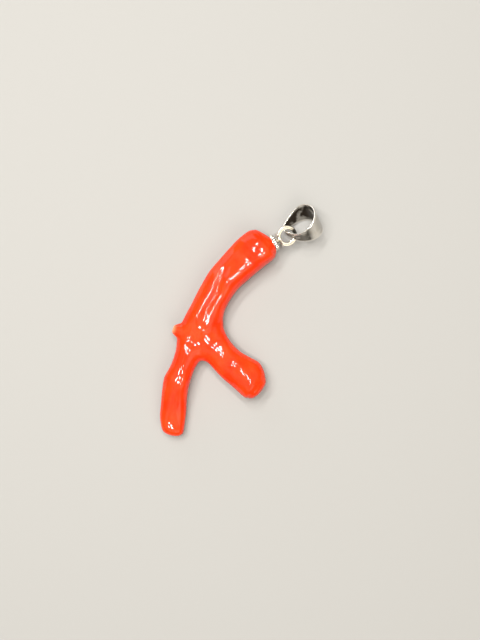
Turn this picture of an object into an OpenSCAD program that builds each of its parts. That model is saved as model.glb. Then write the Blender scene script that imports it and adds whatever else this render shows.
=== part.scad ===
// Coral branch pendant: a polished forked coral branch with a silver end cap,
// an eye on a peg and a folded strip bail. It lies on its back on the plane
// Z = 0, and +Y points from the fork towards the bail.

/* [Coral branch] */
// Points round each ring of the skin, a multiple of four
skin_sides = 32; // [16:4:40]
// Rings of the skin from one section to the next
rings_per_section = 4; // [2:1:5]
// Depth of the valley between the two ridges grown together
valley_depth = 0.6; // [0:0.05:1]
// How far the side nub stands out
nub_height = 1.35; // [0:0.05:1.6]
// Radius of the nub
nub_radius = 1.3; // [1:0.05:1.6]
// Height of the wavy unevenness of the skin
unevenness = 0.02; // [0:0.01:0.15]

/* [End cap] */
// Diameter of the flange that sits on the coral
flange_d = 3.5; // [3:0.1:4]
// Thickness of the flange
flange_t = 0.2; // [0.15:0.05:0.4]
// Diameter of the milled band over its ribs
band_d = 3.35; // [2.8:0.05:3.8]
// Height of the milled band
band_t = 0.55; // [0.3:0.05:0.7]
// Number of ribs round the milled band
band_ribs = 20; // [16:1:48]
// Depth of the grooves between the ribs
rib_depth = 0.12; // [0.05:0.01:0.2]
// Turn of the cap's axis from the hanging axis, clockwise from above
cap_turn = 22.5; // [18:0.5:28]
// Dip of the cap's axis below the level
cap_dip = 5; // [2:0.5:8]

/* [Eye on its peg] */
// Diameter of the eye's wire
wire_d = 0.8; // [0.6:0.05:0.8]
// Diameter of the eye along the middle of its wire
eye_d = 3.4; // [3.2:0.05:3.6]
// Height of the eye's middle over the coral
eye_height = 3.45; // [3.3:0.05:3.6]
// Turn of the eye about its peg
eye_roll = 18; // [10:0.5:20]
// Diameter of the plate under the eye
plate_d = 3.3; // [2.4:0.1:3.6]
// Thickness of that plate
plate_t = 0.3; // [0.2:0.05:0.4]
// Diameter of the peg
peg_d = 1.2; // [0.8:0.1:1.6]
// Depth of the peg in the coral
peg_depth = 5; // [3:0.5:8]

/* [Bail] */
// Thickness of the strip
strip_t = 0.3; // [0.2:0.05:0.35]
// Width of the strip at the top
strip_top_w = 5.6; // [5:0.1:6]
// Width of the strip at the fold
strip_fold_w = 1.1; // [0.8:0.1:1.2]
// Outer radius of the fold that hangs on the eye
fold_r = 1.9; // [1.8:0.05:2.1]
// Outer radius of the top
top_r = 2.35; // [2.2:0.05:2.6]
// Outer radius of the front's belly
belly_r = 3.3; // [2.8:0.05:3.4]
// Twist of the bail about its long axis
bail_twist = 40.5; // [39:0.5:42]
// Turn of the bail from the hanging axis, clockwise from above
bail_turn = 19; // [18:0.5:20]

/* [Hidden] */
$fn = 64;

// Clearance between silver pieces, and round and past the peg in the coral
fit_gap = 0.03;
bore_gap = 0.06;
bore_rest = 0.3;

// Columns of the section tables: the right and the left edge in plan, seen
// from the fork outwards, the half height, the height of the middle, and how
// far the crest leans to the right edge, as a share of the half width.
RIGHT = 0;
LEFT = 2;
HALF = 4;
MIDDLE = 5;
LEAN = 6;

// right x, right y, left x, left y, half height, middle height, lean
STEM = [
    [  0.2,   6.3,  -5.5,  -1.0, 2.60, 2.90, 0.00],
    [ -0.4,   7.2,  -6.3,   1.8, 2.80, 3.10, 0.05],
    [ -0.9,   8.4,  -6.9,   5.0, 2.95, 3.10, 0.15],
    [ -1.3,  10.6,  -7.6,   8.6, 2.95, 3.05, 0.25],
    [ -1.4,  13.2,  -8.1,  12.3, 3.05, 3.15, 0.30],
    [ -1.0,  15.6,  -8.0,  15.7, 3.05, 3.10, 0.38],
    [ -0.4,  18.6,  -7.8,  18.9, 3.10, 3.15, 0.40],
    [  0.1,  20.6,  -7.5,  21.3, 3.40, 3.60, 0.50],
    [  0.5,  22.4,  -6.9,  23.5, 3.20, 3.65, 0.42],
    [  0.2,  23.4,  -6.1,  24.5, 2.55, 3.65, 0.30],
];
PADDLE = [
    [  2.1,  -2.4,   0.2,   6.3, 2.60, 2.90, 0.00],
    [  3.2,  -2.2,   1.5,   5.0, 2.50, 2.85, 0.00],
    [  5.0,  -2.5,   3.8,   4.0, 2.65, 3.00, 0.00],
    [  7.2,  -2.8,   6.5,   3.6, 2.45, 2.85, 0.05],
    [  9.4,  -2.9,   8.9,   3.9, 2.70, 2.90, 0.20],
    [ 11.2,  -3.0,  10.9,   4.2, 2.85, 2.95, 0.35],
    [ 12.8,  -3.1,  12.6,   3.6, 2.80, 3.10, 0.37],
    [ 13.8,  -2.7,  13.9,   2.6, 2.45, 2.90, 0.35],
];
LEG = [
    [ -5.5,  -1.0,   2.1,  -2.4, 2.60, 2.90, 0.00],
    [ -4.6,  -2.6,   1.5,  -3.1, 2.55, 2.90, 0.00],
    [ -3.6,  -4.3,   1.6,  -4.5, 2.40, 2.90, 0.00],
    [ -2.8,  -6.4,   2.0,  -5.9, 2.30, 2.85, -0.10],
    [ -2.4,  -8.2,   2.6,  -7.5, 2.40, 2.90, -0.35],
    [ -2.1,  -9.9,   3.3,  -9.0, 2.50, 2.80, -0.30],
    [ -1.0, -12.0,   4.3, -10.7, 2.30, 2.45, -0.10],
    [  0.6, -14.5,   5.6, -12.6, 2.00, 2.15, 0.00],
    [  2.0, -16.6,   6.8, -14.6, 1.85, 2.00, 0.00],
    [  3.2, -17.8,   7.6, -16.0, 1.75, 2.10, 0.00],
];
// The arms clockwise from above, so the right edge of one runs on into the
// left edge of the next.
ARMS = [STEM, PADDLE, LEG];

// How each closed end rounds off: the width and the height left of the last
// section, and the way out
ENDS = [
    [],
    [[0.95, 0.80, 0.36], [0.81, 0.56, 0.70], [0.53, 0.31, 0.92], [0.24, 0.14, 1.00]],
    [[0.94, 0.94, 0.55], [0.78, 0.74, 1.06], [0.51, 0.45, 1.41], [0.23, 0.19, 1.55]],
];

// Middle of the broad web at the fork, and where the cap sits on the stem
WEB = [-1.0, 0.8];
SEAT = [-1.65, 24.35, 3.8];
seat_margin = 0.05;

// Rows along each arm over which its lines bend into line with the seams
crossing_rows = 1.5;
half_ring = skin_sides / 2;

// Uniform Catmull-Rom step between b and c
function spline(a, b, c, d, t) =
    b + 0.5 * t * (c - a + t * (2 * a - 5 * b + 4 * c - d + t * (3 * (b - c) + d - a)));

function last_row(arm) = len(ARMS[arm]) - 1;

// Point i of an edge. Rows before the fork are the neighbour's, and rows past
// the end carry the last step on.
function edge_row(arm, side, i) =
    i < 0
    ? edge_row((arm + (side == RIGHT ? 1 : 2)) % 3, LEFT - side, -i)
    : i > last_row(arm)
    ? 2 * edge_row(arm, side, i - 1) - edge_row(arm, side, i - 2)
    : [ARMS[arm][i][side], ARMS[arm][i][side + 1]];

function edge(arm, side, t) =
    let (i = min(floor(t), last_row(arm) - 1))
    spline(edge_row(arm, side, i - 1), edge_row(arm, side, i),
           edge_row(arm, side, i + 1), edge_row(arm, side, i + 2), t - i);

// Heights leave the fork level, so the three arms meet without a step
function height_row(arm, column, i) = ARMS[arm][min(abs(i), last_row(arm))][column];

function height(arm, column, t) =
    let (i = min(floor(t), last_row(arm) - 1))
    spline(height_row(arm, column, i - 1), height_row(arm, column, i),
           height_row(arm, column, i + 1), height_row(arm, column, i + 2), t - i);

// Plan position of an arm's spine, which starts at the middle of the web
function web_pull(arm) = WEB - (edge_row(arm, RIGHT, 0) + edge_row(arm, LEFT, 0)) / 2;

function spine(arm, t) =
    let (right = edge(arm, RIGHT, t),
         left = edge(arm, LEFT, t))
    (right + left + height(arm, LEAN, t) * (right - left)) / 2
    + web_pull(arm) * pow(max(0, 1 - t / 2), 2);

// How fast an edge and a spine leave the fork, for each row
function edge_pace(arm, side) = (edge_row(arm, side, 1) - edge_row(arm, side, -1)) / 2;

function spine_pace(arm) = (edge_pace(arm, RIGHT) + edge_pace(arm, LEFT)) / 2 - web_pull(arm);

// Turns the lines of the skin near the fork, so that they cross the seam
// between two arms without a crease
function crossing(arm, side, c, t) =
    t >= crossing_rows
    ? [0, 0]
    : (1 - pow(1 - c, 3)) * (1 - c) * t * pow(1 - t / crossing_rows, 2)
      * (edge_pace(arm, side) - spine_pace(arm));

// Valley on the top of the stem. Across the stem in plan, 1 is its right edge
// and -1 its left one.
valley_width = 0.26;

function valley_place(t) = lookup(t, [[1, 0.05], [2, 0], [3, 0.08], [4, -0.15], [5, -0.4]]);

function valley_share(t) = lookup(t, [[0.4, 0], [1.6, 1], [3.5, 0.9], [5.2, 0]]);

function across_plan(lean, turn) = lean + turn * (1 - sign(turn) * lean);

function valley(arm, t, turn) =
    arm == 0
    ? valley_depth * valley_share(t)
      * exp(-pow((across_plan(height(0, LEAN, t), turn) - valley_place(t)) / valley_width, 2))
    : 0;

// Hollows of the wavy skin, which only take away from the half height
function waves(p) =
    unevenness
    * (sin(70 * p.x + 25 * p.y) + sin(95 * p.y - 40 * p.z) + sin(130 * p.z + 55 * p.x) - 3);

// Pushes the skin out round the nub, beside the fork
NUB = [-5.8, -0.75, 3.3];
NUB_OUT = [-0.92, -0.38, 0.1];

function nub(p) = nub_height * exp(-pow(norm(p - NUB) / nub_radius, 4)) * NUB_OUT;

// Point of the skin on row t of an arm, at angle a up from its right edge
function skin(arm, t, a) =
    let (side = cos(a) >= 0 ? RIGHT : LEFT,
         c = abs(cos(a)),
         middle = spine(arm, t),
         plan = middle + c * (edge(arm, side, t) - middle) + crossing(arm, side, c, t),
         lift = height(arm, HALF, t) * sin(a) + waves([plan.x, plan.y, 9 * sin(a)]) * sin(a),
         dent = sin(a) > 0 ? valley(arm, t, cos(a)) * pow(sin(a), 2) : 0,
         p = [plan.x, plan.y, height(arm, MIDDLE, t) + lift - dent])
    p + nub(p);

// Rings past the last row of a closed end
function end_skin(arm, k, a) =
    let (n = last_row(arm),
         right = edge(arm, RIGHT, n),
         left = edge(arm, LEFT, n),
         across = (right - left) / norm(right - left),
         out = [-across.y, across.x] * ENDS[arm][k][2],
         middle = (right + left) / 2,
         p = skin(arm, n, a),
         narrow = ENDS[arm][k][0],
         lower = ENDS[arm][k][1],
         level = height(arm, MIDDLE, n))
    [middle.x + out.x + narrow * (p.x - middle.x),
     middle.y + out.y + narrow * (p.y - middle.y),
     level + lower * (p.z - level)];

// The flat seat that the cap covers, at right angles to the cap's axis
seat_right = [cos(cap_turn), -sin(cap_turn), 0];
seat_out = [sin(cap_turn) * cos(cap_dip), cos(cap_turn) * cos(cap_dip), -sin(cap_dip)];
seat_up = cross(seat_right, seat_out);

function seat_skin(a) =
    SEAT + (flange_d / 2 + seat_margin) * (cos(a) * seat_right + sin(a) * seat_up);

// Points of the skin: two poles, three seams, then the rings of each arm
function ring_count(arm) = last_row(arm) * rings_per_section + max(1, len(ENDS[arm]));

function ring(arm, j) =
    let (rows = last_row(arm) * rings_per_section)
    [for (i = [0 : skin_sides - 1])
        let (a = 360 * i / skin_sides)
        j <= rows ? skin(arm, j / rings_per_section, a)
        : arm == 0 ? seat_skin(a)
        : end_skin(arm, j - rows - 1, a)];

function seam(arm) = [for (k = [1 : half_ring - 1]) skin(arm, 0, 90 - 180 * k / half_ring)];

function arm_start(arm) =
    2 + 3 * (half_ring - 1)
    + (arm > 0 ? skin_sides * ring_count(0) : 0)
    + (arm > 1 ? skin_sides * ring_count(1) : 0);

function seam_index(arm, k) =
    k == 0 ? 0 : k == half_ring ? 1 : 1 + k + (arm % 3) * (half_ring - 1);

// Number of point i of ring j. Ring 0 is made of the two seams beside the arm.
function index(arm, j, i) =
    let (n = (i + skin_sides) % skin_sides,
         quarter = skin_sides / 4)
    j > 0 ? arm_start(arm) + (j - 1) * skin_sides + n
    : n <= quarter ? seam_index(arm, quarter - n)
    : n < 3 * quarter ? seam_index(arm + 2, n - quarter)
    : seam_index(arm, skin_sides + quarter - n);

skin_points = concat(
    [skin(0, 0, 90), skin(0, 0, 270)],
    [for (arm = [0 : 2]) each seam(arm)],
    [for (arm = [0 : 2]) for (j = [1 : ring_count(arm)]) each ring(arm, j)],
    [SEAT],
    [for (arm = [1 : 2])
        let (last = ring(arm, ring_count(arm)))
        (last[0] + last[half_ring]) / 2]
);
tips_start = arm_start(2) + skin_sides * ring_count(2);

skin_faces = concat(
    [for (arm = [0 : 2])
        for (j = [0 : ring_count(arm) - 1])
            for (i = [0 : skin_sides - 1])
                for (half = [0, 1])
                    half == 0
                    ? [index(arm, j, i), index(arm, j, i + 1), index(arm, j + 1, i + 1)]
                    : [index(arm, j, i), index(arm, j + 1, i + 1), index(arm, j + 1, i)]],
    [for (arm = [0 : 2])
        for (i = [0 : skin_sides - 1])
            [index(arm, ring_count(arm), i), index(arm, ring_count(arm), i + 1),
             tips_start + arm]]
);

// Draws in the cap's own frame: its axis up, its origin on the coral's seat
module on_seat() {
    translate(HOME + SEAT)
    rotate([0, 0, -cap_turn])
    rotate([-90 - cap_dip, 0, 0])
    children();
}

// Coral, drilled for the peg. The bore is turned so that its facets start
// between the lines of the seat.
bore_turn = 90 / skin_sides;

module coral_branch() {
    color("orangered")
    difference() {
        translate(HOME) polyhedron(skin_points, skin_faces, convexity = 6);
        on_seat()
            rotate([0, 0, bore_turn])
            translate([0, 0, -peg_depth - bore_rest])
            cylinder(h = peg_depth + cap_t, d = peg_d + 2 * bore_gap);
    }
}

// A ring of fine ribs, as a flat outline
module milled_outline() {
    polygon([for (i = [0 : 2 * band_ribs - 1])
        let (r = band_d / 2 - (i % 2 == 0 ? 0 : rib_depth),
             a = 180 * i / band_ribs)
        [r * cos(a), r * sin(a)]]);
}

// Silver cap: a thin flange, a milled band and a plain top that narrows
cap_top_t = 0.35;
cap_top_inset = [0.25, 0.6];
cap_t = flange_t + band_t + cap_top_t;

module end_cap() {
    color("silver")
    on_seat()
    difference() {
        union() {
            translate([0, 0, fit_gap])
                cylinder(h = flange_t, d = flange_d);
            translate([0, 0, flange_t])
                linear_extrude(band_t) milled_outline();
            translate([0, 0, flange_t + band_t - 0.05])
                cylinder(
                    h = cap_top_t + 0.05,
                    r1 = band_d / 2 - cap_top_inset[0],
                    r2 = band_d / 2 - cap_top_inset[1]
                );
        }
        translate([0, 0, -1])
            cylinder(h = cap_t + 2, d = peg_d + 2 * fit_gap);
    }
}

// Closed eye soldered on a plate, with the peg that holds it in the coral
plate_z = eye_height - eye_d / 2 - plate_t;

module eye_pin() {
    color("silver")
    on_seat() {
        translate([0, 0, -peg_depth])
            cylinder(h = peg_depth + plate_z + plate_t, d = peg_d);
        translate([0, 0, plate_z])
            cylinder(h = plate_t, d = plate_d);
        translate([0, 0, eye_height])
            rotate([0, 0, eye_roll])
            rotate([90, 0, 0])
            rotate_extrude()
            translate([eye_d / 2, 0])
            circle(d = wire_d);
    }
}

// Side view of the bail: a strip bent round three arcs, each given by the
// place of its centre, up and across, and its radius
BAIL_ARCS = [[0, 0, fold_r], [2.55, 0, top_r], [2, -0.95, belly_r]];
outline_step = 5;

function reach(arc, a) = arc[0] * cos(a) + arc[1] * sin(a) + arc[2];

function furthest(a) =
    let (far = max([for (arc = BAIL_ARCS) reach(arc, a)]))
    [for (arc = BAIL_ARCS) if (reach(arc, a) > far - 0.0001) arc][0];

function strip_outline(inset) =
    [for (a = [0 : outline_step : 359])
        let (arc = furthest(a))
        [arc[0], arc[1]] + (arc[2] - inset) * [cos(a), sin(a)]];

bail_top = max([for (arc = BAIL_ARCS) arc[0] + arc[2]]);

function half_width(x) =
    lookup(x, [[-fold_r, strip_fold_w / 2], [bail_top, strip_top_w / 2]]);

// The bail's own directions: from the fold to the top, from side to side of
// the loop, and along the chain that it takes
bail_up = [sin(bail_turn), cos(bail_turn), 0];
bail_side = [-cos(bail_turn) * cos(bail_twist), sin(bail_turn) * cos(bail_twist), -sin(bail_twist)];
bail_chain = cross(bail_up, bail_side);

bail_corners = [
    for (q = strip_outline(0))
        for (end = [-1, 1])
            q.x * bail_up + q.y * bail_side + end * half_width(q.x) * bail_chain
];

// Where the fold's centre is in plan from the middle of the eye. Its height
// lays the bail on the same level as the coral.
FOLD = [-0.06, 2.05];
eye_middle = SEAT + eye_height * seat_out;
fold_place = [eye_middle.x + FOLD.x, eye_middle.y + FOLD.y, -least(bail_corners, 2)];

function least(points, axis) = min([for (p = points) p[axis]]);

function most(points, axis) = max([for (p = points) p[axis]]);

// Moves the origin from the fork to the middle of the pendant, with the
// lowest point of the coral at Z = 0
HOME = -[
    (least(skin_points, 0) + most(skin_points, 0)) / 2,
    (least(skin_points, 1) + most(bail_corners, 1) + fold_place.y) / 2,
    least(skin_points, 2)
];

module bail() {
    color("silver")
    translate([HOME.x, HOME.y, 0] + fold_place)
    rotate([-bail_twist, 0, 90 - bail_turn])
    intersection() {
        translate([0, 0, -strip_top_w])
            linear_extrude(2 * strip_top_w)
            difference() {
                polygon(strip_outline(0));
                polygon(strip_outline(strip_t));
            }
        rotate([90, 0, 0])
            translate([0, 0, -2 * belly_r])
            linear_extrude(4 * belly_r)
            polygon([
                [-fold_r, -strip_fold_w / 2],
                [bail_top, -strip_top_w / 2],
                [bail_top, strip_top_w / 2],
                [-fold_r, strip_fold_w / 2],
            ]);
    }
}

coral_branch();
end_cap();
eye_pin();
bail();
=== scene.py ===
# %% [markdown]
# # A coral branch pendant
# A polished, forked branch of red coral hangs on silver findings: a milled cap,
# an eye on a peg and a folded strip bail. The pendant lies on its back, seen
# straight from above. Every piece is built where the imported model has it, and
# each cell below adds one piece, one finish or one light.

import math

import bmesh
import bpy
import numpy as np
from mathutils import Matrix, Vector, noise


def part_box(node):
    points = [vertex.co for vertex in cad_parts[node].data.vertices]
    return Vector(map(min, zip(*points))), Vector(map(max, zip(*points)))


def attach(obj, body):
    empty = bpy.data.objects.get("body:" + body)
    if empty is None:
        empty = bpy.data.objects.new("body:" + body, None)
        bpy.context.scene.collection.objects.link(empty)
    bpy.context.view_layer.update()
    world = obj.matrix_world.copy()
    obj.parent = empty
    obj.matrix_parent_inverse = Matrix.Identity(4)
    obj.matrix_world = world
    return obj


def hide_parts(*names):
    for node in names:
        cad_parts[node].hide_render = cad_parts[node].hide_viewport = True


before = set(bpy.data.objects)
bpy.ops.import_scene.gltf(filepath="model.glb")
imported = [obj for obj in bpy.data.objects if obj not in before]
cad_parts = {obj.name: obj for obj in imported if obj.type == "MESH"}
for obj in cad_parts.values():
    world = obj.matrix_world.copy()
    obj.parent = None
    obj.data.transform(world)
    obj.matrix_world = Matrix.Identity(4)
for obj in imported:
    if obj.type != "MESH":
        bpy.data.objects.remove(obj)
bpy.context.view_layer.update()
MM = 0.001

# %% [markdown]
# ## The camera
# The photo was taken from straight above, with the pendant lying slantwise in
# the picture. So the camera looks down and is turned about its own axis. At
# the height of the coral's middle, one pixel of the photo is 0.2 mm, and that
# fixes the lens.

# %% The camera
PIXEL = 0.2 * MM
PHOTO_HEIGHT = 640
PHOTO_MIDDLE = Vector((-0.66, 0.32, 0)) * MM
SENSOR_WIDTH = 36
CAMERA_HEIGHT = 180 * MM
CORAL_MIDDLE_HEIGHT = 3.1 * MM
CAMERA_TURN = math.radians(38.2)
NEAREST = 10 * MM
FARTHEST = 5


def placed(name, data):
    """A new object in the scene."""
    new_object = bpy.data.objects.new(name, data)
    bpy.context.scene.collection.objects.link(new_object)
    return new_object


lens = SENSOR_WIDTH * (CAMERA_HEIGHT - CORAL_MIDDLE_HEIGHT) / (PHOTO_HEIGHT * PIXEL)
camera = placed("camera", bpy.data.cameras.new("camera"))
camera.data.sensor_width = SENSOR_WIDTH
camera.data.lens = lens
camera.data.clip_start = NEAREST
camera.data.clip_end = FARTHEST
camera.location = PHOTO_MIDDLE + Vector((0, 0, CAMERA_HEIGHT))
camera.rotation_euler = (0, 0, CAMERA_TURN)
bpy.context.scene.camera = camera
print("lens, mm:", round(lens, 2))

# %% [markdown]
# ## One helper for every piece
# A finished piece is a plain mesh whose object sits at the origin. The helper
# merges doubled points, makes the faces point outwards, shades them smooth, hides
# the solid that the piece stands for and hangs the piece on the body it moves
# with. Doing this once for all of them leaves no piece with an open seam or a
# dark, flipped face.

# %% A finished piece
# Points closer than this, in millimetres, are one point
DOUBLE_GAP = 1e-4


def mesh_of(name, points, faces):
    mesh = bpy.data.meshes.new(name)
    mesh.from_pydata([tuple(p) for p in points], [], faces)
    return mesh


def clean(mesh, gap):
    """Merges points that lie closer than the gap and turns the faces outwards."""
    shape = bmesh.new()
    shape.from_mesh(mesh)
    bmesh.ops.remove_doubles(shape, verts=shape.verts, dist=gap)
    bmesh.ops.recalc_face_normals(shape, faces=shape.faces)
    shape.to_mesh(mesh)
    shape.free()


def finished_piece(name, mesh, node, body, material):
    clean(mesh, DOUBLE_GAP * MM)
    mesh.shade_smooth()
    mesh.materials.clear()
    mesh.materials.append(material)
    piece = placed(name, mesh)
    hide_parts(node)
    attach(piece, body)
    print(name, "has", len(mesh.polygons), "faces")


# %% [markdown]
# ## The coral's three arms
# The branch is a stem, a broad paddle and a leg that meet at a fork. Sculpting
# it freehand would be one way, and a skin over metaballs another, but then its
# outline would only roughly follow the photo. Here each arm is a row of
# sections across it, measured from the fork outwards: where its right and left
# edges lie in plan, half its height, the height of its middle, and how far its
# crest leans to the right edge. Sizes are in millimetres, and the origin of
# these tables is the fork.

# %% Sections of the three arms
RIGHT = slice(0, 2)
LEFT = slice(2, 4)
HALF = 4
MIDDLE = 5
LEAN = 6

# right x, right y, left x, left y, half height, middle height, lean
STEM = [
    (0.2, 6.3, -5.5, -1.0, 2.60, 2.90, 0.00),
    (-0.4, 7.2, -6.3, 1.8, 2.80, 3.10, 0.05),
    (-0.9, 8.4, -6.9, 5.0, 2.95, 3.10, 0.15),
    (-1.3, 10.6, -7.6, 8.6, 2.95, 3.05, 0.25),
    (-1.4, 13.2, -8.1, 12.3, 3.05, 3.15, 0.30),
    (-1.0, 15.6, -8.0, 15.7, 3.05, 3.10, 0.38),
    (-0.4, 18.6, -7.8, 18.9, 3.10, 3.15, 0.40),
    (0.1, 20.6, -7.5, 21.3, 3.40, 3.60, 0.50),
    (0.5, 22.4, -6.9, 23.5, 3.20, 3.65, 0.42),
    (0.2, 23.4, -6.1, 24.5, 2.55, 3.65, 0.30),
]
PADDLE = [
    (2.1, -2.4, 0.2, 6.3, 2.60, 2.90, 0.00),
    (3.2, -2.2, 1.5, 5.0, 2.50, 2.85, 0.00),
    (5.0, -2.5, 3.8, 4.0, 2.65, 3.00, 0.00),
    (7.2, -2.8, 6.5, 3.6, 2.45, 2.85, 0.05),
    (9.4, -2.9, 8.9, 3.9, 2.70, 2.90, 0.20),
    (11.2, -3.0, 10.9, 4.2, 2.85, 2.95, 0.35),
    (12.8, -3.1, 12.6, 3.6, 2.80, 3.10, 0.37),
    (13.8, -2.7, 13.9, 2.6, 2.45, 2.90, 0.35),
]
LEG = [
    (-5.5, -1.0, 2.1, -2.4, 2.60, 2.90, 0.00),
    (-4.6, -2.6, 1.5, -3.1, 2.55, 2.90, 0.00),
    (-3.6, -4.3, 1.6, -4.5, 2.40, 2.90, 0.00),
    (-2.8, -6.4, 2.0, -5.9, 2.30, 2.85, -0.10),
    (-2.4, -8.2, 2.6, -7.5, 2.40, 2.90, -0.35),
    (-2.1, -9.9, 3.3, -9.0, 2.50, 2.80, -0.30),
    (-1.0, -12.0, 4.3, -10.7, 2.30, 2.45, -0.10),
    (0.6, -14.5, 5.6, -12.6, 2.00, 2.15, 0.00),
    (2.0, -16.6, 6.8, -14.6, 1.85, 2.00, 0.00),
    (3.2, -17.8, 7.6, -16.0, 1.75, 2.10, 0.00),
]
# Arm 0 is the stem, arm 1 the paddle and arm 2 the leg
ARMS = [np.array(table) for table in (STEM, PADDLE, LEG)]
print("sections on the stem, paddle and leg:", [len(table) for table in ARMS])

# %% [markdown]
# ## Smooth edges through the sections
# A spline runs through each edge. Before the fork an edge borrows a point from
# the arm beside it, so that the right edge of one arm flows on into the left
# edge of the next with no corner. Near the fork the spine, the line along an
# arm's crest, bends to the middle of the web, where the three arms meet.

# %% Splines through the tables
# Middle of the web, and the rows over which a spine bends to it
WEB = np.array([-1.0, 0.8])
WEB_ROWS = 2


def spline(points, t):
    """Point t of a smooth curve. points[0] lies one step before t = 0."""
    i = min(int(t), len(points) - 5)
    a, b, c, d = points[i : i + 4]
    f = t - i
    return b + 0.5 * f * (c - a + f * (2 * a - 5 * b + 4 * c - d + f * (3 * (b - c) + d - a)))


def edge_points(arm, side):
    own = ARMS[arm][:, side]
    if side == RIGHT:
        borrowed = ARMS[(arm + 1) % len(ARMS)][1, LEFT]
    else:
        borrowed = ARMS[(arm + 2) % len(ARMS)][1, RIGHT]
    step = own[-1] - own[-2]
    return np.vstack([borrowed, own, own[-1] + step, own[-1] + 2 * step])


def edge(arm, side, t):
    return spline(edge_points(arm, side), t)


def height(arm, column, t):
    own = ARMS[arm][:, column]
    return spline(np.concatenate([[own[1]], own, [own[-1], own[-1]]]), t)


def web_pull(arm):
    return WEB - (ARMS[arm][0, RIGHT] + ARMS[arm][0, LEFT]) / 2


def spine(arm, t):
    right = edge(arm, RIGHT, t)
    left = edge(arm, LEFT, t)
    middle = (right + left + height(arm, LEAN, t) * (right - left)) / 2
    return middle + web_pull(arm) * max(0, 1 - t / WEB_ROWS) ** 2


print("spine of the stem ends at", np.round(spine(0, len(STEM) - 1), 2))

# %% [markdown]
# ## The valley and the shallow hollows
# The stem looks like two stems that have grown together, with a valley between
# them, and no stretch of the branch is quite round. Brushes could press both
# into a finished mesh, but as two small rules they can be changed at any time:
# one gives the valley's depth, and crossing waves give the hollows.

# %% The valley and the hollows
VALLEY_DEPTH = 0.6
VALLEY_WIDTH = 0.26
# Row on the stem, and the share of the depth there
VALLEY_SHARE = ([0.4, 1.6, 3.5, 5.2], [0, 1, 0.9, 0])
# Row on the stem, and how far to the right the valley lies, in half widths
VALLEY_PLACE = ([1, 2, 3, 4, 5], [0.05, 0, 0.08, -0.15, -0.4])
UNEVENNESS = 0.02
# Turn of each wave in degrees, for each millimetre of x, y and z
WAVES = [(70, 25, 0), (0, 95, -40), (55, 0, 130)]


def valley(arm, t, turn):
    if arm != 0:
        return 0
    lean = height(0, LEAN, t)
    across = lean + turn * (1 - np.sign(turn) * lean)
    share = np.interp(t, *VALLEY_SHARE)
    place = np.interp(t, *VALLEY_PLACE)
    return VALLEY_DEPTH * share * np.exp(-(((across - place) / VALLEY_WIDTH) ** 2))


def hollows(x, y, z):
    """Rise of the skin in millimetres: nothing on a crest of all the waves, or less."""
    waves = sum(np.sin(np.radians(a * x + b * y + c * z)) for a, b, c in WAVES)
    return UNEVENNESS * (waves - len(WAVES))


print("the valley's depth at row 2, mm:", round(valley(0, 2, -height(0, LEAN, 2)), 2))

# %% [markdown]
# ## The skin of the coral
# Round each section the skin runs from the right edge over the top to the left
# edge and back underneath. It starts as an ellipse, takes the hollows and the
# valley, and is then pushed out at the side nub, which is the stump of a twig
# with a small dimple in its tip.

# %% One ring of the skin
SIDES = 128
ANGLES = np.radians(np.arange(SIDES) * 360 / SIDES)
# Rows from the fork over which the lines of the skin bend
CROSSING_ROWS = 1.5
# Stands in for half the height of the skin in the waves
WAVE_HEIGHT = 9
NUB = np.array([-5.8, -0.75, 3.3])
NUB_OUT = np.array([-0.92, -0.38, 0.1])
NUB_HEIGHT = 1.35
NUB_RADIUS = 1.3
DIMPLE_DEPTH = 0.2
DIMPLE_RADIUS = 0.45


def edge_pace(arm, side):
    points = edge_points(arm, side)
    return (points[2] - points[0]) / 2


def crossing(arm, side, c, t):
    """Bends the lines of the skin into line with the seam between two arms."""
    if t >= CROSSING_ROWS:
        return 0
    spine_pace = (edge_pace(arm, RIGHT) + edge_pace(arm, LEFT)) / 2 - web_pull(arm)
    share = (1 - (1 - c) ** 3) * (1 - c) * t * (1 - t / CROSSING_ROWS) ** 2
    return share * (edge_pace(arm, side) - spine_pace)


def skin_ring(arm, t):
    across = np.cos(ANGLES)
    up = np.sin(ANGLES)
    c = np.abs(across)[:, None]
    middle = spine(arm, t)
    right = middle + c * (edge(arm, RIGHT, t) - middle) + crossing(arm, RIGHT, c, t)
    left = middle + c * (edge(arm, LEFT, t) - middle) + crossing(arm, LEFT, c, t)
    plan = np.where(across[:, None] >= 0, right, left)
    lift = (height(arm, HALF, t) + hollows(plan[:, 0], plan[:, 1], WAVE_HEIGHT * up)) * up
    dent = np.where(up > 0, valley(arm, t, across) * up**2, 0)
    ring = np.column_stack([plan, height(arm, MIDDLE, t) + lift - dent])
    from_nub = np.linalg.norm(ring - NUB, axis=1)
    push = NUB_HEIGHT * np.exp(-((from_nub / NUB_RADIUS) ** 4))
    push -= DIMPLE_DEPTH * np.exp(-((from_nub / DIMPLE_RADIUS) ** 2))
    return ring + push[:, None] * NUB_OUT


print("the stem's first ring reaches up to, mm:", round(skin_ring(0, 0)[:, 2].max(), 2))

# %% [markdown]
# ## The worn ends
# The paddle and the leg end in worn, rounded stumps. A flat lid would leave a
# hard edge, and half a ball would be too round. So each line of the skin is
# carried on to the tip along a curve of its own, which leaves the arm in the
# line's own direction.

# %% Rings of the worn ends
ROUNDNESS = 0.65
# Arm, and how far its tip lies beyond its last section
END_DEPTH = {1: 1.02, 2: 1.58}
END_RINGS = 14
LEAVING_STEP = 0.1


def leaving(arm):
    """The last ring of an arm, and the way in which the skin leaves it."""
    last = len(ARMS[arm]) - 1
    ring = skin_ring(arm, last)
    lead = ring - skin_ring(arm, last - LEAVING_STEP)
    return ring, lead / np.linalg.norm(lead, axis=1)[:, None]


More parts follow.
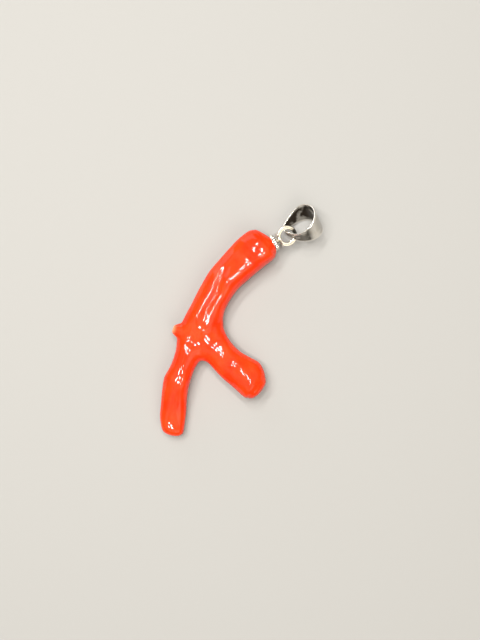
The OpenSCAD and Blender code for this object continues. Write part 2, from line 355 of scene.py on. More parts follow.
def rounded_end(arm):
    ring, lead = leaving(arm)
    last = len(ARMS[arm]) - 1
    right, left = ARMS[arm][last, RIGHT], ARMS[arm][last, LEFT]
    across = (right - left) / np.linalg.norm(right - left)
    middle = np.array([*(right + left) / 2, height(arm, MIDDLE, last)])
    tip = middle + END_DEPTH[arm] * np.array([-across[1], across[0], 0])
    near_ring = ring + ROUNDNESS * END_DEPTH[arm] * lead
    near_tip = tip + ROUNDNESS * (ring - middle)
    return [
        (1 - s) ** 3 * ring
        + 3 * s * (1 - s) ** 2 * near_ring
        + 3 * s**2 * (1 - s) * near_tip
        + s**3 * tip
        for s in np.linspace(0, 1, END_RINGS + 1)[1:]
    ]


print("rings on each worn end:", len(rounded_end(1)))

# %% [markdown]
# ## The drilled end
# The stem's end is ground flat for the cap and drilled for the peg. A boolean
# could cut the hole, but it leaves long, thin faces. Here the last rings simply
# run on over the shoulder to the seat and down the hole.

# %% Rings of the drilled end
SEAT = np.array([-1.65, 24.35, 3.8])
SEAT_RADIUS = 1.8
SEAT_MIDDLE_RADIUS = 1.2
SHOULDER_LEAD = 0.15
BORE_RADIUS = 0.66
BORE_DEPTH = 5.3
BORE_RINGS = 5
CAP_TURN = math.radians(22.5)
CAP_DIP = math.radians(5)

seat_right = np.array([math.cos(CAP_TURN), -math.sin(CAP_TURN), 0])
seat_out = np.array([
    math.sin(CAP_TURN) * math.cos(CAP_DIP),
    math.cos(CAP_TURN) * math.cos(CAP_DIP),
    -math.sin(CAP_DIP),
])
seat_up = np.cross(seat_right, seat_out)


def seat_ring(radius, depth=0.0):
    round_seat = np.outer(np.cos(ANGLES), seat_right) + np.outer(np.sin(ANGLES), seat_up)
    return SEAT + radius * round_seat - depth * seat_out


def drilled_end():
    start, lead = leaving(0)
    finish = seat_ring(SEAT_RADIUS)
    control = start + SHOULDER_LEAD * np.linalg.norm(finish - start, axis=1)[:, None] * lead
    shoulder = [
        (1 - s) ** 2 * start + 2 * s * (1 - s) * control + s**2 * finish
        for s in np.linspace(0, 1, END_RINGS + 1)[1:]
    ]
    depths = np.linspace(0, BORE_DEPTH, BORE_RINGS)
    hole = [seat_ring(BORE_RADIUS, depth) for depth in depths]
    return shoulder + [seat_ring(SEAT_MIDDLE_RADIUS)] + hole + [seat_ring(0, BORE_DEPTH)]


print("rings on the drilled end:", len(drilled_end()))

# %% [markdown]
# ## Joining the rings
# Neighbouring rings are bridged with four-sided faces. Beside the points, each
# ring carries its place along the arm, which the material uses later to draw
# the fine growth lines that run along every arm.

# %% The coral's mesh
RINGS_PER_SECTION = 15
GRAIN_GAP = 40


def arm_rings(arm):
    last = len(ARMS[arm]) - 1
    steps = np.linspace(0, last, last * RINGS_PER_SECTION + 1)
    rings = [skin_ring(arm, t) for t in steps]
    return rings + (drilled_end() if arm == 0 else rounded_end(arm))


def bridge(first, count, sides=SIDES):
    """Faces between each ring of points and the next one."""
    faces = []
    for ring in range(count - 1):
        here = first + ring * sides
        for i in range(sides):
            after = (i + 1) % sides
            faces.append((here + i, here + sides + i, here + sides + after, here + after))
    return faces


def grain_of(arm, rings):
    """Place of each point about the arm's middle line and along it, in millimetres.

    The gap between the arms keeps their growth lines from being the same.
    """
    middles = np.array([ring.mean(axis=0) for ring in rings])
    steps = np.linalg.norm(np.diff(middles, axis=0), axis=1)
    along = np.concatenate([[0], np.cumsum(steps)]) + GRAIN_GAP * arm
    return [
        np.column_stack([ring - middle, np.full(SIDES, place)])
        for ring, middle, place in zip(rings, middles, along)
    ]


points = []
grain = []
faces = []
for arm in range(len(ARMS)):
    rings = arm_rings(arm)
    faces += bridge(len(points), len(rings))
    points += list(np.vstack(rings))
    grain += list(np.vstack(grain_of(arm, rings)))
points = np.array(points)
grain = np.array(grain)
print("coral rings hold", len(points), "points")

# %% [markdown]
# ## Knobs and hollows
# Natural coral is never perfectly smooth, even when polished. Low knobs and
# shallow hollows, up to about 0.3 mm high, draw its highlights out into streaks
# or break them into dots. A bump map could fake them, but here they are moved in
# the mesh itself, so that they also show from the side.

# %% Knobs and hollows
# x, y, turn in degrees, half length, half width, height
KNOBS = np.array([
    (-3.20, 15.60, 76, 3.6, 0.95, 0.25),
    (-5.60, 17.00, 80, 3.5, 1.6, -0.32),
    (-6.30, 12.40, 110, 2.2, 0.5, 0.08),
    (9.90, 0.82, -18, 4.4, 1.0, 0.30),
    (13.43, 1.68, 0, 1.2, 1.2, 0.10),
    (-3.36, 5.76, 70, 1.0, 0.6, 0.07),
    (-4.73, 6.34, 80, 1.0, 0.6, 0.07),
    (-4.75, 2.30, 85, 2.4, 0.6, 0.14),
    (-1.39, 2.73, 60, 1.0, 0.8, 0.08),
    (0.60, 3.70, 100, 1.8, 0.9, 0.14),
    (-2.90, -2.30, 90, 1.0, 0.7, 0.12),
    (-1.30, -0.20, 0, 2.0, 1.8, -0.26),
    (1.50, -8.40, -72, 1.4, 0.7, 0.08),
    (4.90, -15.60, -60, 2.0, 1.25, -0.22),
])


def knobs(points, normals):
    """Low knobs on the upper side, and hollows where the height is negative."""
    rise = np.zeros(len(points))
    for x, y, turn, half_length, half_width, knob_height in KNOBS:
        c, s = math.cos(math.radians(turn)), math.sin(math.radians(turn))
        away = points[:, :2] - (x, y)
        along = (away @ (c, s)) / half_length
        across = (away @ (-s, c)) / half_width
        rise += knob_height * np.exp(-(along**2) - across**2)
    return rise * np.clip(normals[:, 2], 0, None)


print("knobs and hollows:", len(KNOBS), "from", KNOBS[:, 5].min(), "to", KNOBS[:, 5].max(), "mm")

# %% [markdown]
# ## Lumps and flutes
# Finer still, soft lumps lie all over the branch and faint flutes run along each
# arm. Both are noise, read in the mesh's own points and, for the flutes, in
# their place along the arm. Every point then moves along its normal by the sum
# of all this relief. Only the finest ripple is left to the material.

# %% Relief of the coral
# Heights and sizes in millimetres
LUMP = 0.006
LUMP_SIZE = 2.8
FLUTE = 0.003
FLUTE_SIZE = 0.7
FLUTE_STRETCH = 5


def outward(points, faces):
    """Smooth normals of the bridged rings."""
    mesh = mesh_of("normals", points, faces)
    shape = bmesh.new()
    shape.from_mesh(mesh)
    bmesh.ops.recalc_face_normals(shape, faces=shape.faces)
    normals = np.array([tuple(v.normal) for v in shape.verts])
    shape.free()
    bpy.data.meshes.remove(mesh)
    return normals


def relief(point, about_x, about_y, about_z, along):
    lump = noise.noise(Vector(point) / LUMP_SIZE) * LUMP
    stretched = Vector((about_x, about_y + about_z, along / FLUTE_STRETCH))
    return lump + noise.noise(stretched / FLUTE_SIZE) * FLUTE


normals = outward(points, faces)
shift = np.array([relief(p, *g) for p, g in zip(points, grain)])
shift += knobs(points, normals)
points = points + normals * shift[:, None]
print("relief, mm: from", round(shift.min(), 2), "to", round(shift.max(), 2))

# %% [markdown]
# ## Helpers for finishes
# A finish is a small net of nodes. Written out one by one, nodes and links take
# many lines, so a few helpers add a node, fill its inputs and hand back what
# comes out of it. The cap's Geometry Nodes and the room use the same helpers.


# %% Helpers for finishes
class Nodes:
    """Adds nodes to a tree, and fills their inputs with values or links."""

    def __init__(self, tree):
        self.tree = tree

    def fill(self, socket, value):
        if isinstance(value, bpy.types.NodeSocket):
            self.tree.links.new(value, socket)
        else:
            socket.default_value = value

    def add(self, kind, **values):
        """A new node. A small first letter is a setting, and a capital an input."""
        node = self.tree.nodes.new(kind)
        for key, value in values.items():
            if key[0].islower():
                setattr(node, key, value)
            else:
                self.fill(node.inputs[key.replace("_", " ")], value)
        return node

    def calculate(self, operation, *values):
        """What a Math node makes of its inputs."""
        node = self.add("ShaderNodeMath", operation=operation)
        for socket, value in zip(node.inputs, values):
            self.fill(socket, value)
        return node.outputs[0]

    def clouds(self, place, scale, detail):
        """A soft noise pattern. The scale says about how many blotches a unit holds."""
        noise_node = self.add("ShaderNodeTexNoise", Vector=place, Scale=scale, Detail=detail)
        return noise_node.outputs["Fac"]

    def spread(self, value, lowest, highest, at_lowest, at_highest):
        node = self.add("ShaderNodeMapRange", Value=value, From_Min=lowest, From_Max=highest)
        self.fill(node.inputs["To Min"], at_lowest)
        self.fill(node.inputs["To Max"], at_highest)
        return node.outputs["Result"]

    def ramp(self, source, stops):
        node = self.add("ShaderNodeValToRGB", Fac=source)
        elements = node.color_ramp.elements
        while len(elements) < len(stops):
            elements.new(0.5)
        for element, (place, colour) in zip(elements, stops):
            element.position = place
            element.color = (*colour, 1)
        return node.outputs["Color"]

    def mix(self, factor, a, b, blend="MIX"):
        """Mixes two colours. Inputs 0, 6 and 7 are the share and the two colours."""
        node = self.add("ShaderNodeMix", data_type="RGBA", blend_type=blend)
        for number, value in ((0, factor), (6, a), (7, b)):
            self.fill(node.inputs[number], value)
        return node.outputs[2]

    def bump(self, height, strength, distance):
        node = self.add("ShaderNodeBump", Height=height, Strength=strength, Distance=distance)
        return node.outputs["Normal"]


def new_finish(name, values):
    """A material, its nodes and its shader, which takes the values given."""
    material = bpy.data.materials.new(name)
    material.use_nodes = True
    shader = material.node_tree.nodes["Principled BSDF"]
    for socket, value in values.items():
        shader.inputs[socket].default_value = value
    return material, Nodes(material.node_tree), shader


# %% [markdown]
# ## The coral's finish
# Polished coral is dense, waxy, orange-red stone. A plain glossy red would look
# like plastic. Light goes a little way into coral and comes out redder, so the
# material has some subsurface light under a clear, hard polish. The colour
# drifts between a lighter and a deeper red, with faint growth lines along each
# arm and a paler, worn tip on the nub.

# %% Polished coral
CORAL_SHADES = [(0.35, (0.76, 0.029, 0.004)), (0.65, (0.85, 0.048, 0.007))]
# Blotches to the unit, and levels of finer detail in them
CORAL_CLOUDS = (260, 3)
LINE_SHADES = [(0.38, (0.97, 0.93, 0.92)), (0.6, (1.0, 1.0, 1.0))]
LINE_CLOUDS = (3.2, 4)
WORN_CORAL = (0.90, 0.36, 0.17, 1)
RIPPLE_CLOUDS = (1500, 2)
RIPPLE_STRENGTH = 0.02
RIPPLE_DEPTH = 0.015 * MM
CORAL_POLISH = {
    "Roughness": 0.24,
    "Specular IOR Level": 0.0,
    "IOR": 1.5,
    "Subsurface Weight": 0.12,
    "Subsurface Radius": (1.0, 0.25, 0.12),
    "Subsurface Scale": 0.8 * MM,
    "Coat Weight": 0.75,
    "Coat Roughness": 0.03,
}


def polished_coral():
    material, nodes, shader = new_finish("polished_coral", CORAL_POLISH)
    place = nodes.add("ShaderNodeTexCoord").outputs["Object"]
    grain_place = nodes.add("ShaderNodeAttribute", attribute_name="grain").outputs["Vector"]
    worn = nodes.add("ShaderNodeAttribute", attribute_name="worn").outputs["Fac"]
    base = nodes.ramp(nodes.clouds(place, *CORAL_CLOUDS), CORAL_SHADES)
    lines = nodes.ramp(nodes.clouds(grain_place, *LINE_CLOUDS), LINE_SHADES)
    lined = nodes.mix(1.0, base, lines, "MULTIPLY")
    nodes.fill(shader.inputs["Base Color"], nodes.mix(worn, lined, WORN_CORAL))
    ripple = nodes.clouds(place, *RIPPLE_CLOUDS)
    nodes.fill(shader.inputs["Normal"], nodes.bump(ripple, RIPPLE_STRENGTH, RIPPLE_DEPTH))
    return material


coral = polished_coral()
print(coral.name, "has", len(coral.node_tree.nodes), "nodes")

# %% [markdown]
# ## The coral piece
# The skin is laid over its solid, box on box, and stands at the same height.
# Two attributes go with its points: the stretched place along the arm, which
# draws out the growth lines, and how worn the nub is, which fades away from
# its tip.

# %% The coral piece
LINE_STRETCH = 6
WORN_MOST = 0.85
WORN_RADIUS = 1.0


def give_points(mesh, name, kind, field, values):
    """Stores a value at each point of the mesh, for its material to read."""
    attribute = mesh.attributes.new(name, kind, "POINT")
    attribute.data.foreach_set(field, np.ravel(values).astype(np.float32))


solid_low, solid_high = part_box("coral_branch")
low, high = points.min(axis=0), points.max(axis=0)
home = (np.array(solid_low) + np.array(solid_high)) / 2 / MM - (low + high) / 2
home[2] = solid_low[2] / MM - low[2]
coral_mesh = mesh_of("coral_skin", (points + home) * MM, faces)
stretch = np.column_stack([grain[:, 0], grain[:, 1] + grain[:, 2], grain[:, 3] / LINE_STRETCH])
give_points(coral_mesh, "grain", "FLOAT_VECTOR", "vector", stretch)
from_tip = np.linalg.norm(points - NUB - NUB_HEIGHT * NUB_OUT, axis=1)
worn = WORN_MOST * np.exp(-((from_tip / WORN_RADIUS) ** 4))
give_points(coral_mesh, "worn", "FLOAT", "value", worn)
finished_piece("coral_skin", coral_mesh, "coral_branch", "pendant", coral)
print("fork lies at", np.round(home, 2))

# %% [markdown]
# ## Polished silver
# The findings are bright silver that has been handled: a warm white metal with
# hair-fine scratches and a slightly uneven polish, which keep its reflections
# from being perfect mirrors. Where a finding carries a painted shade value, dark
# shade and dark reflections are painted into the metal's colour in soft patches.
# Noise makes all of this here, because a painted picture would need a flat
# layout of every finding.

# %% Polished silver
SILVER_SHADES = [
    (0.3, (0.86, 0.80, 0.70)),
    (0.5, (0.94, 0.90, 0.83)),
    (0.8, (0.97, 0.94, 0.88)),
]
HAZE_CLOUDS = (900, 4)
SMOOTHEST = 0.10
DULLEST = 0.26
# Dark colour painted in where the metal should lie in shade or mirror dark surroundings
PAINTED_SHADE_COLOUR = (0.04, 0.03, 0.022, 1)
SHADE_PATCH_CLOUDS = (420, 3)
# Where a patch begins and ends in the noise, and how much painted shade it holds there
SHADE_PATCH_SPREAD = (0.52, 0.62, 1.0, 0.6)
# Scratches to the metre along x, y and z
SCRATCHES = (900, 6000, 3000)
SCRATCH_CLOUDS = (1, 3)
SCRATCH_STRENGTH = 0.12
SCRATCH_DEPTH = 0.01 * MM


def polished_silver():
    material, nodes, shader = new_finish("polished_silver", {"Metallic": 1.0})
    place = nodes.add("ShaderNodeTexCoord").outputs["Object"]
    haze = nodes.clouds(place, *HAZE_CLOUDS)
    bright = nodes.ramp(haze, SILVER_SHADES)
    # This attribute says where dark shade and dark reflections are painted into the colour
    tarnish = nodes.add("ShaderNodeAttribute", attribute_name="tarnish").outputs["Fac"]
    patches = nodes.spread(nodes.clouds(place, *SHADE_PATCH_CLOUDS), *SHADE_PATCH_SPREAD)
    tone = nodes.mix(nodes.calculate("MULTIPLY", tarnish, patches), bright, PAINTED_SHADE_COLOUR)
    nodes.fill(shader.inputs["Base Color"], tone)
    nodes.fill(shader.inputs["Roughness"], nodes.spread(haze, 0, 1, SMOOTHEST, DULLEST))
    squeeze = nodes.add("ShaderNodeMapping", Vector=place, Scale=SCRATCHES)
    scratches = nodes.clouds(squeeze.outputs["Vector"], *SCRATCH_CLOUDS)
    nodes.fill(shader.inputs["Normal"], nodes.bump(scratches, SCRATCH_STRENGTH, SCRATCH_DEPTH))
    return material


silver = polished_silver()
print(silver.name, "has", len(silver.node_tree.nodes), "nodes")

# %% [markdown]
# ## Where the findings sit
# The cap, the plate and the eye share one axis, at right angles to the ground
# seat on the coral. They are made upright on that axis first, in millimetres,
# and then laid on the seat. That is easier than making them aslant.

# %% The seat's own frame
TURN_STEPS = 64

seat_place = Matrix.Identity(4)
for axis, direction in enumerate((seat_right, -seat_up, seat_out)):
    seat_place.col[axis][:3] = direction
seat_place.translation = Vector(SEAT + home)
to_seat = Matrix.Scale(MM, 4) @ seat_place


def turned(profile):
    """A profile of (radius, height) points, turned about the axis."""
    turn = np.arange(TURN_STEPS) * 2 * math.pi / TURN_STEPS
    points = [
        (radius * math.cos(a), radius * math.sin(a), height)
        for radius, height in profile
        for a in turn
    ]
    return points, bridge(0, len(profile), TURN_STEPS)


def workpiece(name, points, faces):
    """An object to be finished by modifiers, in millimetres."""
    return placed(name, mesh_of(name, points, faces))


def finished_by(modified):
    """The plain mesh that an object's modifiers leave, with the object removed."""
    depsgraph = bpy.context.evaluated_depsgraph_get()
    mesh = bpy.data.meshes.new_from_object(modified.evaluated_get(depsgraph))
    mesh.name = modified.name
    bpy.data.objects.remove(modified)
    return mesh


print("the seat's middle lies at, mm:", np.round(SEAT + home, 2))

# %% [markdown]
# ## The milled cap
# A real cap like this is turned on a lathe, and a milling wheel rolls the ribs
# into its band. The flange, band and top are one turned profile here too, and
# Geometry Nodes set the ribs round the band, because their number and size are
# then two numbers to change.

# %% The ribs' Geometry Nodes
RIB_INPUTS = {
    "Core": "NodeSocketGeometry",
    "Ribs": "NodeSocketInt",
    "Circle Radius": "NodeSocketFloat",
    "Rib Radius": "NodeSocketFloat",
    "Low": "NodeSocketFloat",
    "High": "NodeSocketFloat",
    "Finish": "NodeSocketMaterial",
}
RIB_STEPS = 9
RIB_SIDES = 10
# How much thinner a rib is at its ends, and how suddenly it gets so
RIB_TAPER = 0.6
TAPER_POWER = 6


def ribs_tree():
    tree = bpy.data.node_groups.new("ribs_round_a_band", "GeometryNodeTree")
    for name, kind in RIB_INPUTS.items():
        tree.interface.new_socket(name, in_out="INPUT", socket_type=kind)
    tree.interface.new_socket("Cap", in_out="OUTPUT", socket_type="NodeSocketGeometry")
    nodes = Nodes(tree)
    add = nodes.add
    given = add("NodeGroupInput").outputs
    circle = add("GeometryNodeMeshCircle", Vertices=given["Ribs"], Radius=given["Circle Radius"])
    low = add("ShaderNodeCombineXYZ", Z=given["Low"])
    high = add("ShaderNodeCombineXYZ", Z=given["High"])
    line = add("GeometryNodeCurvePrimitiveLine", Start=low.outputs[0], End=high.outputs[0])
    path = add("GeometryNodeResampleCurve", Curve=line.outputs[0], Count=RIB_STEPS)
    along = add("GeometryNodeSplineParameter").outputs["Factor"]
    from_middle = nodes.calculate("MULTIPLY_ADD", along, 2, -1)
    power = nodes.calculate("POWER", from_middle, TAPER_POWER)
    taper = nodes.calculate("MULTIPLY_ADD", power, -RIB_TAPER, 1)
    section = add("GeometryNodeCurvePrimitiveCircle", Resolution=RIB_SIDES)
    nodes.fill(section.inputs["Radius"], given["Rib Radius"])
    rib = add("GeometryNodeCurveToMesh", Curve=path.outputs[0], Fill_Caps=True, Scale=taper)
    nodes.fill(rib.inputs["Profile Curve"], section.outputs[0])
    ribs = add("GeometryNodeInstanceOnPoints", Points=circle.outputs[0], Instance=rib.outputs[0])
    both = add("GeometryNodeJoinGeometry", Geometry=ribs.outputs[0])
    nodes.fill(both.inputs["Geometry"], given["Core"])
    whole = add("GeometryNodeRealizeInstances", Geometry=both.outputs[0])
    finish = add("GeometryNodeSetMaterial", Geometry=whole.outputs[0], Material=given["Finish"])
    add("NodeGroupOutput", Cap=finish.outputs[0])
    return tree


def geometry_nodes(piece, tree, values):
    """Adds the tree as a modifier and sets its inputs by their identifiers."""
    modifier = piece.modifiers.new(tree.name, "NODES")
    modifier.node_group = tree
    for socket in tree.interface.items_tree:
        if socket.name in values:
            modifier[socket.identifier] = values[socket.name]


ribs = ribs_tree()
print(ribs.name, "has", len(ribs.nodes), "nodes")

# %% [markdown]
# ## The cap itself
# The profile runs from the seat outwards over the flange, up the band and in
# over the top to the hole for the peg. Turned about the axis it is the core,
# and the modifier sets the ribs round it.

# %% The milled cap
RIB_COUNT = 20
BAND_RADIUS = 1.675
RIB_RADIUS = 0.2
BAND_LOW = 0.22
BAND_HIGH = 0.92
# Radius, height
CAP_PROFILE = [
    (0.63, 0.03),
    (1.71, 0.03),
    (1.75, 0.08),
    (1.75, 0.15),
    (1.71, 0.2),
    (1.58, 0.23),
    (1.58, 0.9),
    (1.42, 0.94),
    (1.38, 0.98),
    (1.2, 1.04),
    (1.06, 1.1),
    (0.9, 1.1),
    (0.63, 1.1),
    (0.63, 0.03),
]

cap = workpiece("milled_cap", *turned(CAP_PROFILE))
geometry_nodes(cap, ribs, {
    "Ribs": RIB_COUNT,
    "Circle Radius": BAND_RADIUS - RIB_RADIUS,
    "Rib Radius": RIB_RADIUS,
    "Low": BAND_LOW,
    "High": BAND_HIGH,
    "Finish": silver,
})
cap_mesh = finished_by(cap)
cap_mesh.transform(to_seat)
finished_piece("milled_cap", cap_mesh, "end_cap", "pendant", silver)

# %% [markdown]
# ## The eye, its plate and the peg
# The eye is a ring of flat-faced wire with a fine groove, soldered upright on a
# small plate, and the peg goes on down through the cap. Left as three meshes
# they would meet in sharp lines. The three closed shapes are fused by a fine
# voxel remesh instead, which also leaves the small fillet that solder leaves
# where they meet.

# %% The eye on its peg
EYE_HEIGHT = 3.45
EYE_RADIUS = 1.7
EYE_ROLL = math.radians(18)
EYE_STEPS = 96
# Half of the wire's section: outwards from the wire's middle, along the eye's axis
EYE_SECTION = [
    (-0.39, -0.16),
    (-0.37, -0.27),
    (-0.3, -0.32),
    (-0.1, -0.325),
    (0.0, -0.29),
    (0.1, -0.325),
    (0.3, -0.32),
    (0.37, -0.27),
    (0.39, -0.16),
]
PLATE_PROFILE = [(0, 1.46), (1.5, 1.46), (1.63, 1.54), (1.63, 1.66), (1.5, 1.74), (0, 1.74)]
PEG_PROFILE = [(0, -5), (0.5, -5), (0.6, -4.9), (0.6, 1.2), (0.75, 1.5), (0, 1.6)]
FUSE_SIZE = 0.045
SOFTENING = 0.5
SOFTENING_ROUNDS = 4


def eye_ring():
    section = EYE_SECTION + [(-x, -y) for x, y in EYE_SECTION]
    turn = np.arange(EYE_STEPS + 1) * 2 * math.pi / EYE_STEPS
    rings = [
        ((EYE_RADIUS + x) * math.cos(a), (EYE_RADIUS + x) * math.sin(a), y)
        for a in turn
        for x, y in section
    ]
    stand = Matrix.Rotation(EYE_ROLL, 4, "Z") @ Matrix.Rotation(math.pi / 2, 4, "X")
    stand.translation = (0, 0, EYE_HEIGHT)
    points = [tuple(stand @ Vector(p)) for p in rings]
    return points, bridge(0, EYE_STEPS + 1, len(section))


def closed(points, faces):
    """The same shape with its seams and poles closed and its faces outwards."""
    mesh = mesh_of("closed", points, faces)
    clean(mesh, DOUBLE_GAP)
    points = [tuple(v.co) for v in mesh.vertices]
    faces = [tuple(face.vertices) for face in mesh.polygons]
    bpy.data.meshes.remove(mesh)
    return points, faces


eye_points = []
eye_faces = []
for shape in (eye_ring(), turned(PLATE_PROFILE), turned(PEG_PROFILE)):
    shape_points, shape_faces = closed(*shape)
    eye_faces += [tuple(len(eye_points) + i for i in face) for face in shape_faces]
    eye_points += shape_points
eye = workpiece("eye_on_peg", eye_points, eye_faces)
fuse = eye.modifiers.new("fuse", "REMESH")
fuse.mode = "VOXEL"
fuse.voxel_size = FUSE_SIZE
soften = eye.modifiers.new("soften", "SMOOTH")
soften.factor = SOFTENING
soften.iterations = SOFTENING_ROUNDS
eye_mesh = finished_by(eye)
eye_mesh.transform(to_seat)
finished_piece("eye_on_peg", eye_mesh, "eye_pin", "pendant", silver)

# %% [markdown]
# ## The bail's loop
# The bail is one tapered strip bent into a loop: narrow at the fold that hangs
# in the eye and widest at the top, where the chain runs. Curve to Mesh in
# Geometry Nodes could sweep it, but it scales the strip's thickness together
# with its width. So the strip's section is swept here point by point, round the
# loop's side view, which three arcs and their common tangents make.

# %% The loop from the side
FOLD_RADIUS = 1.9
# Up, across, radius
BAIL_ARCS = np.array([(0, 0, FOLD_RADIUS), (2.55, 0, 2.35), (2, -0.95, 3.3)])
LOOP_STEP = math.radians(2)
TANGENT_STEP = 0.25


def side_view():
    """Points of the loop and the way outwards at each, from the fold round."""
    loop = []
    for a in np.arange(0, 2 * math.pi, LOOP_STEP):
        out = np.array([math.cos(a), math.sin(a)])
        reach = BAIL_ARCS[:, :2] @ out + BAIL_ARCS[:, 2]
        arc = BAIL_ARCS[reach.argmax()]
        point = arc[:2] + arc[2] * out
        if loop:
            gap = np.linalg.norm(point - loop[-1][0])
            for share in np.linspace(0, 1, int(gap / TANGENT_STEP) + 2)[1:-1]:
                between = loop[-1][0] * (1 - share) + point * share
                loop.append((between, out))
        loop.append((point, out))
    return loop


loop = side_view()
print("points round the loop:", len(loop))

# %% [markdown]
# ## The strip's section
# A cut strip has slightly rounded corners, and it is these that catch the light
# as a bright line round the rim. Each point of the section also carries how
# much painted shade it takes: dark shade and dark reflections are painted over
# the whole inside, and none on the rims. Down the outer face, painted shade
# leaves a bright band between two darker ones.

# %% The strip's section
STRIP_THICKNESS = 0.3
OUTER_CORNER = 0.12
INNER_CORNER = 0.05
CORNER_STEPS = 5
ACROSS_STEPS = 10


def corner(radius):
    """(inset, drop) along a rounded corner, from the face to the rim."""
    turn = np.linspace(0, math.pi / 2, CORNER_STEPS + 1)
    return list(zip(radius * (1 - np.sin(turn)), radius * (1 - np.cos(turn))))


def strip_section(half_width, outside_shade):
    """(across, depth, painted shade) round the strip: outer face, rim, inner face, rim."""
    flat = np.linspace(-1, 1, ACROSS_STEPS + 1)[1:-1] * (half_width - OUTER_CORNER)
    outer = [(w, 0.0, outside_shade) for w in flat]
    rim = [(half_width - i, d, 0.0) for i, d in corner(OUTER_CORNER)]
    rim += [(half_width - i, STRIP_THICKNESS - d, 0.0) for i, d in corner(INNER_CORNER)[::-1]]
    inner = [(w, STRIP_THICKNESS, 1.0) for w in flat[::-1]]
    other_rim = [(-w, d, t) for w, d, t in rim[::-1]]
    return outer + rim + inner + other_rim


section_size = len(strip_section(1.0, 0.0))
print("points round the strip:", section_size)

# %% [markdown]
# ## Hanging the bail
# The loop leans and twists as it lies: its fold rests in the eye and one edge
# of the strip rests on the table. The sweep is turned that way at once, point
# by point, so that the finished piece needs no turn of its own.

# %% The strip bail
STRIP_TOP_HALF = 2.8
STRIP_FOLD_HALF = 0.55
# How far up the loop, and how much painted shade the outer face takes there
OUTSIDE_PAINTED_SHADE = (
    [0.0, 0.2, 0.35, 0.48, 0.60, 0.70, 0.85, 1.0],
    [0.6, 0.9, 0.80, 0.92, 0.25, 0.15, 0.50, 0.6],
)
BAIL_TWIST = math.radians(40.5)
BAIL_TURN = math.radians(19)
# In plan, from the middle of the eye to the middle of the fold
FOLD_FROM_EYE = np.array([-0.06, 2.05])

bail_up = np.array([math.sin(BAIL_TURN), math.cos(BAIL_TURN), 0])
bail_side = np.array([
    -math.cos(BAIL_TURN) * math.cos(BAIL_TWIST),
    math.sin(BAIL_TURN) * math.cos(BAIL_TWIST),
    -math.sin(BAIL_TWIST),
])
bail_chain = np.cross(bail_up, bail_side)
bail_top = (BAIL_ARCS[:, 0] + BAIL_ARCS[:, 2]).max()

bail_points = []
tarnish = []
for point, out in loop + loop[:1]:
    share = (point[0] + FOLD_RADIUS) / (bail_top + FOLD_RADIUS)
    half = STRIP_FOLD_HALF + share * (STRIP_TOP_HALF - STRIP_FOLD_HALF)
    for across, depth, shade_share in strip_section(half, np.interp(share, *OUTSIDE_PAINTED_SHADE)):
        up, side = point - depth * out
        bail_points.append(up * bail_up + side * bail_side + across * bail_chain)
        tarnish.append(shade_share)
bail_points = np.array(bail_points)
eye_middle = SEAT + EYE_HEIGHT * seat_out + home
fold_place = np.append(eye_middle[:2] + FOLD_FROM_EYE, -bail_points[:, 2].min())
bail_faces = bridge(0, len(loop) + 1, section_size)
bail_mesh = mesh_of("strip_bail", (bail_points + fold_place) * MM, bail_faces)
# Painted shade and dark reflections for the silver's colour, one value per point
give_points(bail_mesh, "tarnish", "FLOAT", "value", tarnish)
finished_piece("strip_bail", bail_mesh, "bail", "bail", silver)

# %% [markdown]
# ## The table
# The pendant lies on a plain, pale, matt table, which takes its soft shadow. One
# big flat face is enough for it. The table is in the picture, but it is no part
# of the pendant and hangs on no body.

# %% The table
TABLE_CORNERS = [(-1, -1, 0), (1, -1, 0), (1, 1, 0), (-1, 1, 0)]
TABLE_FINISH = {"Base Color": (0.33, 0.32, 0.30, 1), "Roughness": 0.8}

table = placed("table", mesh_of("table", TABLE_CORNERS, [(0, 1, 2, 3)]))
table.data.materials.append(new_finish("table_finish", TABLE_FINISH)[0])
print("table, m:", list(table.dimensions))

# %% [markdown]
# ## The lights
# The dots on the coral in the photo come from a grid of small lamps overhead,
# somewhat to the left in the pendant's own frame. Each crest of the coral
# mirrors the whole grid: as separate dots where it bends both ways, and as
# streaks where it runs straight. One big lamp would leave blank white patches
# instead. A softbox on the right fills the shadows and is kept out of
# reflections. Two cards give the silver something bright to mirror: one lights
# the strip's rim from the left, and a warm one lights the flat face of the eye.

# %% The lights
LAMP_DISTANCE = 0.5
LAMP_TILT = math.radians(15)
LAMP_PITCH = math.radians(13)
LAMP_SIZE = 56 * MM
LAMP_POWER = 0.46
TO_THE_LAMPS = Vector((-0.98, 0.2, 0))
WHITE = (1.0, 1.0, 1.0)
WARM = (1.0, 0.92, 0.74)
# Name, direction, distance and width in metres, power in watts, colour
CARDS = [
    ("softbox", Vector((0.55, -0.25, 0.7)), 0.6, 0.45, 0.9, WHITE),
    ("card_at_the_left", Vector((-0.93, 0.32, 0.3)), 0.55, 0.35, 0.6, WHITE),
    ("warm_card", Vector((0.60, -0.08, 0.79)), 0.6, 0.3, 0.33, WARM),
]


def light(name, aim, distance, shape, size, power):
    """An area light that shines on the origin from the direction aim."""
    lamp = placed(name, bpy.data.lights.new(name, "AREA"))
    lamp.data.shape = shape
    lamp.data.size = size
    lamp.data.energy = power
    lamp.location = aim.normalized() * distance
    lamp.rotation_mode = "QUATERNION"
    lamp.rotation_quaternion = aim.to_track_quat("Z", "Y")
    return lamp


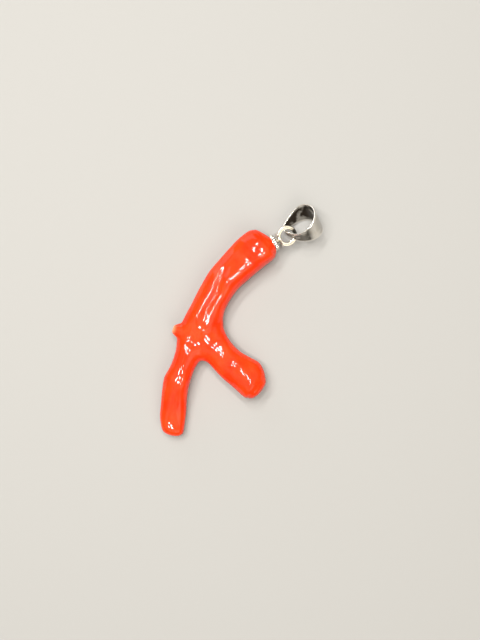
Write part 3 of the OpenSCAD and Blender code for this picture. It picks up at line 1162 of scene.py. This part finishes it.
middle = TO_THE_LAMPS * math.sin(LAMP_TILT)
for row in (-1, 0, 1):
    for column in (-1, 0, 1):
        spot = middle + Vector((column, row, 0)) * math.sin(LAMP_PITCH)
        spot.z = math.sqrt(1 - spot.length_squared)
        name = f"ceiling_lamp_{row + 1}_{column + 1}"
        light(name, spot, LAMP_DISTANCE, "DISK", LAMP_SIZE, LAMP_POWER)
for name, aim, distance, size, power, colour in CARDS:
    light(name, aim, distance, "SQUARE", size, power).data.color = colour
bpy.data.objects["softbox"].visible_glossy = False

# %% [markdown]
# ## The room
# Silver has hardly any colour of its own and shows the room around it. The room
# here is a background that is dark at the horizon and warm white overhead, with
# soft dark patches such as walls and furniture leave, so that the strip's bends
# turn from bright to dark. The Light Path node tells rays that come straight
# from the camera from mirrored ones, so behind the table there is a plain grey
# backdrop, and only the pendant mirrors the room. The Standard view leaves the
# colours as they are, where the usual one would make the coral paler.

# %% The room that the silver mirrors
ROOM = [
    (0.0, (0.05, 0.04, 0.03)),
    (0.45, (0.09, 0.075, 0.06)),
    (0.62, (0.40, 0.37, 0.33)),
    (0.72, (0.82, 0.78, 0.70)),
]
PATCHES = [(0.40, (0.45, 0.42, 0.37)), (0.52, WHITE)]
PATCH_CLOUDS = (2.6, 1)
BACKDROP = (0.15, 0.145, 0.135, 1)

world = bpy.data.worlds.new("room")
world.use_nodes = True
bpy.context.scene.world = world
bpy.context.scene.view_settings.view_transform = "Standard"
room = Nodes(world.node_tree)
direction = room.add("ShaderNodeTexCoord").outputs["Generated"]
height_of_view = room.add("ShaderNodeSeparateXYZ", Vector=direction).outputs["Z"]
walls = room.ramp(height_of_view, ROOM)
patches = room.ramp(room.clouds(direction, *PATCH_CLOUDS), PATCHES)
from_camera = room.add("ShaderNodeLightPath").outputs["Is Camera Ray"]
seen = room.mix(from_camera, room.mix(1.0, walls, patches, "MULTIPLY"), BACKDROP)
room.fill(world.node_tree.nodes["Background"].inputs["Color"], seen)
print("room has", len(world.node_tree.nodes), "nodes")
